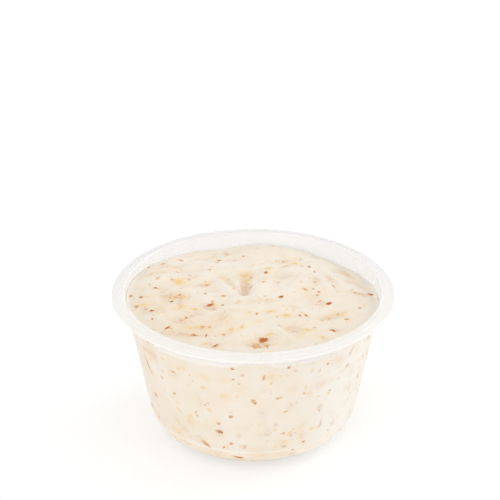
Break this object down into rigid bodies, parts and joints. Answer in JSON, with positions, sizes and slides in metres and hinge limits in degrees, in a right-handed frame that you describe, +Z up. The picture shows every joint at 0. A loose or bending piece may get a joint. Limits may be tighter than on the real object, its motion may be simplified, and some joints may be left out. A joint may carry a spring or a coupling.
{
  "type": "honey mustard sauce in a portion cup",
  "caption": "Clear plastic portion cup with a curled flange and rounded heel, filled with thick, lumpy cream-coloured honey mustard sauce flecked with herb and mustard seed.",
  "frame": {"origin": "middle of the cup's flat base, on the surface it stands on", "axes": "+Z up out of the cup, the front of the cup as the picture shows it towards -Y, +X to the picture's right"},
  "size_m": [0.062, 0.062, 0.0339],
  "materials": {
    "clear_plastic": "clear to slightly milky thin formed plastic, glossy",
    "cream_sauce": null
  },
  "bodies": {
    "root": {"cup": "clear_plastic", "sauce": "cream_sauce"}
  },
  "joints": []
}
